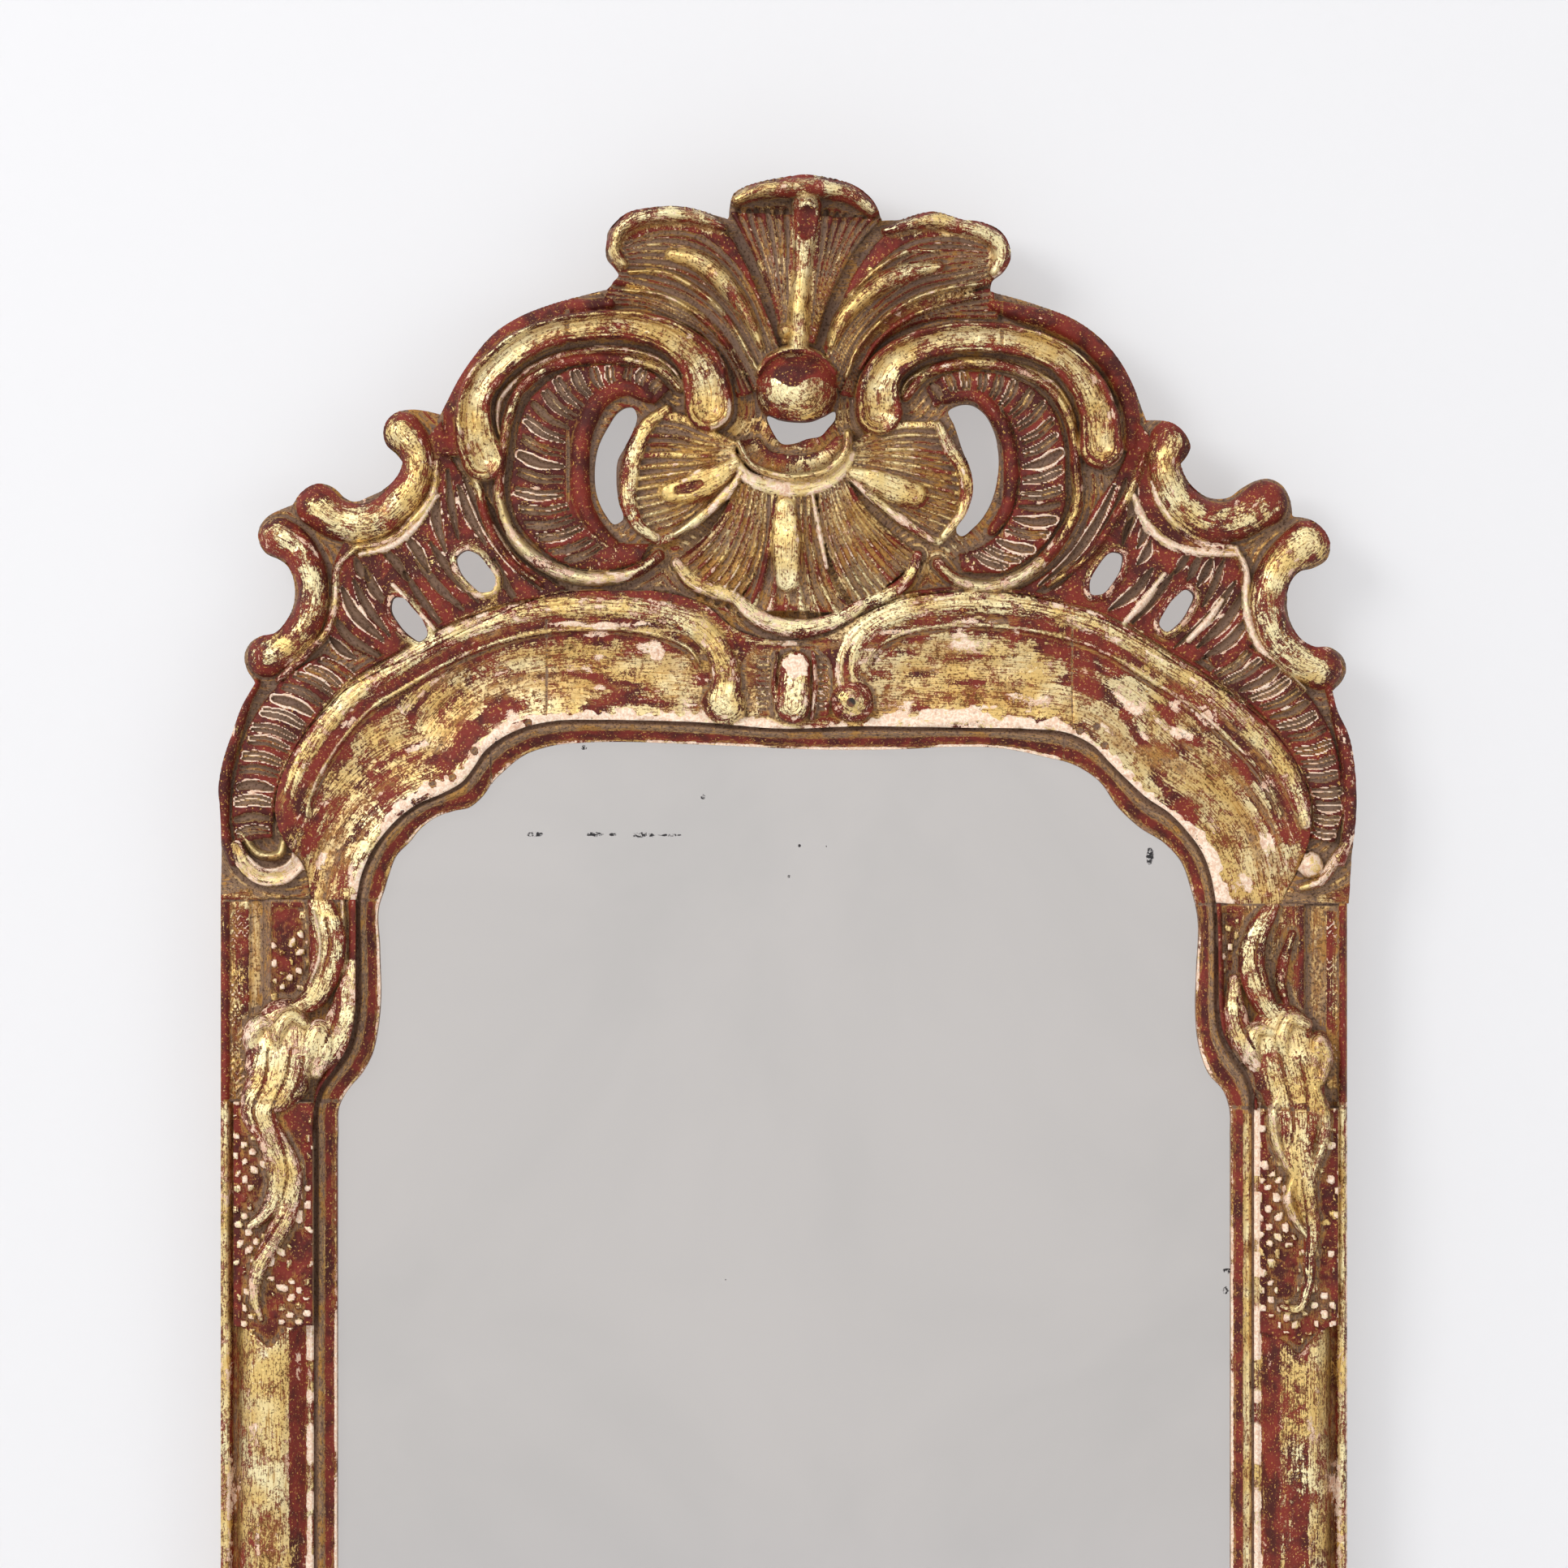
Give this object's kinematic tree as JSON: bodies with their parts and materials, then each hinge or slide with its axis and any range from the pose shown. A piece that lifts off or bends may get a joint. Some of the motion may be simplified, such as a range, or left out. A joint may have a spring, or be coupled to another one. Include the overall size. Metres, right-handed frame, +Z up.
{
  "type": "rococo wall mirror",
  "caption": "Tall rococo wall mirror: carved, pierced and gilded crest over an arched old plate, moulded stiles, pine carcass with nailed backboards and a swinging iron hanging ring.",
  "frame": {"origin": "the point of the wall where the nail carries the lifted hanging ring, in the plane of the carcass's back", "axes": "+X to the viewer's right across the frame, +Y out of the back into the wall, +Z up; the carved front faces -Y"},
  "size_m": [0.4043, 0.04, 0.84],
  "materials": {
    "gilded_wood": "worn gold leaf over red bole and gesso",
    "pine": "aged, unpainted, sawn and planed",
    "mirror": "old silvered plate, slightly foxed",
    "iron": "forged, dark, lightly rusted"
  },
  "bodies": {
    "frame": {"arch_centre": "gilded_wood", "arch_left": "gilded_wood", "arch_pin": "iron", "arch_right": "gilded_wood", "backboard_lower": "pine", "backboard_middle": "pine", "backboard_nails": "iron", "backboard_upper": "pine", "batten_nails": "iron", "bottom_cartouche": "gilded_wood", "bottom_moulding_left": "gilded_wood", "bottom_moulding_right": "gilded_wood", "carcass_bottom_rail": "pine", "carcass_stile_left": "pine", "carcass_stile_right": "pine", "carcass_top_rail": "pine", "crest_centre": "gilded_wood", "crest_cross_batten": "pine", "crest_left": "gilded_wood", "crest_right": "gilded_wood", "crest_upright_left": "pine", "crest_upright_right": "pine", "glazing_blocks": "pine", "hanging_staple": "iron", "joint_pegs": "pine", "mirror_plate": "mirror", "shoulder_block_left": "gilded_wood", "shoulder_block_right": "gilded_wood", "sight_strip_arch_centre": "gilded_wood", "sight_strip_arch_left": "gilded_wood", "sight_strip_arch_right": "gilded_wood", "sight_strip_bottom": "gilded_wood", "sight_strip_shoulder_left": "gilded_wood", "sight_strip_shoulder_right": "gilded_wood", "sight_strip_stile_left": "gilded_wood", "sight_strip_stile_right": "gilded_wood", "stile_moulding_left": "gilded_wood", "stile_moulding_right": "gilded_wood"},
    "ring": {"hanging_ring": "iron"}
  },
  "joints": [
    {"name": "ring_swing", "type": "hinge", "parent": "frame", "child": "ring", "pos_m": [0, -0.0056, -0.0205], "axis": [1, 0, 0], "range_deg": [0, 180]}
  ]
}
